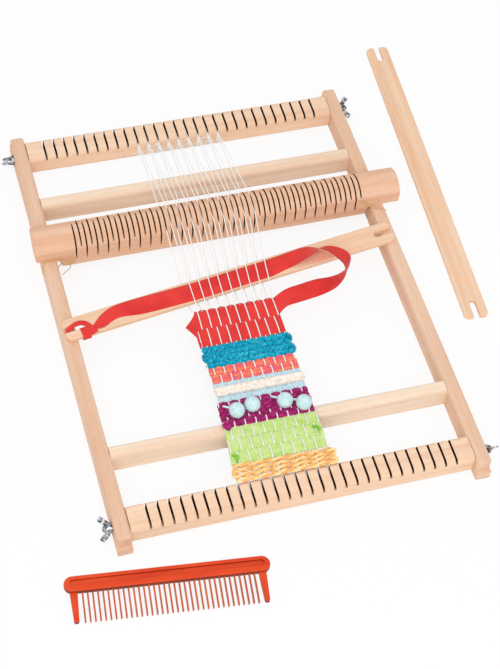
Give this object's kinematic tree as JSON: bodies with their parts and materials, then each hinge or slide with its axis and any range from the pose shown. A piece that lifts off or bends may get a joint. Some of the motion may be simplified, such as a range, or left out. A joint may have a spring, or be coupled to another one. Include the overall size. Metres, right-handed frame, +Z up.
{
  "type": "table loom",
  "caption": "Small wooden table loom with a rocking slotted heddle bar, slotted beams clamped by wing nuts, a started strip of weaving, stick shuttles and a comb.",
  "frame": {"origin": "centre of the loom's rectangular frame, on the table that it stands on", "axes": "+X along the beams to the weaver's right, +Y away from the weaver, +Z up"},
  "size_m": [0.459, 0.5903, 0.0459],
  "materials": {
    "beech_wood": "sanded, unvarnished beech",
    "heddle_wood": "sanded, unvarnished beech, turned",
    "shuttle_wood": "sanded, unvarnished beech",
    "zinc_steel": "zinc plated",
    "warp_thread": "twisted white cotton",
    "tie_cord": "natural twisted cord",
    "red_ribbon": "woven ribbon, slight sheen",
    "turquoise_chenille": "chenille yarn",
    "coral_yarn": "slub yarn",
    "pale_blue_braid": "plaited yarn",
    "purple_yarn": "shiny yarn",
    "lime_felt": "felt strip",
    "orange_rope": "rope yarn",
    "pompom_plush": "plush",
    "comb_plastic": "moulded, satin gloss"
  },
  "bodies": {
    "frame": {"left_rail": "beech_wood", "right_rail": "beech_wood", "front_stretcher": "beech_wood", "back_stretcher": "beech_wood", "stretcher_dowels": "beech_wood", "upper_warp": "warp_thread", "lower_warp": "warp_thread", "ribbon_weft": "red_ribbon", "turquoise_weft": "turquoise_chenille", "coral_weft": "coral_yarn", "braid_weft": "pale_blue_braid", "purple_weft": "purple_yarn", "felt_weft": "lime_felt", "rope_weft": "orange_rope", "pompoms": "pompom_plush", "ribbon_loop": "red_ribbon", "left_tie": "tie_cord", "right_tie": "tie_cord"},
    "front_beam": {"front_beam": "beech_wood", "front_left_bolt": "zinc_steel", "front_right_bolt": "zinc_steel"},
    "back_beam": {"back_beam": "beech_wood", "back_left_bolt": "zinc_steel", "back_right_bolt": "zinc_steel"},
    "heddle": {"heddle_bar": "heddle_wood"},
    "shuttle": {"shuttle": "shuttle_wood", "ribbon_knot": "red_ribbon", "ribbon_on_shuttle": "red_ribbon"},
    "spare_shuttle": {"spare_shuttle": "shuttle_wood"},
    "comb": {"comb": "comb_plastic"},
    "front_left_washer": {"front_left_washer": "zinc_steel"},
    "front_left_wing_nut": {"front_left_wing_nut": "zinc_steel"},
    "front_right_washer": {"front_right_washer": "zinc_steel"},
    "front_right_wing_nut": {"front_right_wing_nut": "zinc_steel"},
    "back_left_washer": {"back_left_washer": "zinc_steel"},
    "back_left_wing_nut": {"back_left_wing_nut": "zinc_steel"},
    "back_right_washer": {"back_right_washer": "zinc_steel"},
    "back_right_wing_nut": {"back_right_wing_nut": "zinc_steel"}
  },
  "joints": [
    {"name": "heddle_rock", "type": "hinge", "parent": "frame", "child": "heddle", "pos_m": [0, 0.08796, 0.0215], "axis": [-1, 0, 0], "range_deg": [0, 45], "deforming": ["upper_warp", "lower_warp", "left_tie", "right_tie"]},
    {"name": "front_beam_turn", "type": "hinge", "parent": "frame", "child": "front_beam", "pos_m": [0, -0.2083, 0.01075], "axis": [1, 0, 0], "range_deg": [0, 90]},
    {"name": "back_beam_turn", "type": "hinge", "parent": "frame", "child": "back_beam", "pos_m": [0, 0.2083, 0.01075], "axis": [1, 0, 0], "range_deg": [0, 90]},
    {"name": "shuttle_pass", "type": "slide", "parent": "frame", "child": "shuttle", "axis": [0.9895, 0.1444, 0], "range_m": [0, 0.15], "deforming": ["ribbon_loop"]},
    {"name": "spare_shuttle_lift", "type": "slide", "parent": "frame", "child": "spare_shuttle", "axis": [0, 0, 1], "range_m": [0, 0.08]},
    {"name": "comb_lift", "type": "slide", "parent": "frame", "child": "comb", "axis": [0, 0, 1], "range_m": [0, 0.08]},
    {"name": "front_left_clamp_slide", "type": "slide", "parent": "front_beam", "child": "front_left_washer", "axis": [-1, 0, 0], "range_m": [0, 0.0018]},
    {"name": "front_left_nut_turn", "type": "hinge", "parent": "front_left_washer", "child": "front_left_wing_nut", "pos_m": [-0.17, -0.2083, 0.01075], "axis": [-1, 0, 0], "range_deg": [0, 810]},
    {"name": "front_right_clamp_slide", "type": "slide", "parent": "front_beam", "child": "front_right_washer", "axis": [1, 0, 0], "range_m": [0, 0.0018]},
    {"name": "front_right_nut_turn", "type": "hinge", "parent": "front_right_washer", "child": "front_right_wing_nut", "pos_m": [0.17, -0.2083, 0.01075], "axis": [1, 0, 0], "range_deg": [0, 810]},
    {"name": "back_left_clamp_slide", "type": "slide", "parent": "back_beam", "child": "back_left_washer", "axis": [-1, 0, 0], "range_m": [0, 0.0018]},
    {"name": "back_left_nut_turn", "type": "hinge", "parent": "back_left_washer", "child": "back_left_wing_nut", "pos_m": [-0.17, 0.2083, 0.01075], "axis": [-1, 0, 0], "range_deg": [0, 810]},
    {"name": "back_right_clamp_slide", "type": "slide", "parent": "back_beam", "child": "back_right_washer", "axis": [1, 0, 0], "range_m": [0, 0.0018]},
    {"name": "back_right_nut_turn", "type": "hinge", "parent": "back_right_washer", "child": "back_right_wing_nut", "pos_m": [0.17, 0.2083, 0.01075], "axis": [1, 0, 0], "range_deg": [0, 810]}
  ],
  "couplings": [
    {"joint": "back_beam_turn", "follows": "front_beam_turn", "ratio": 1},
    {"joint": "front_left_clamp_slide", "follows": "front_left_nut_turn", "m_per_rad": 0.00012732},
    {"joint": "front_right_clamp_slide", "follows": "front_right_nut_turn", "m_per_rad": 0.00012732},
    {"joint": "back_left_clamp_slide", "follows": "back_left_nut_turn", "m_per_rad": 0.00012732},
    {"joint": "back_right_clamp_slide", "follows": "back_right_nut_turn", "m_per_rad": 0.00012732}
  ]
}
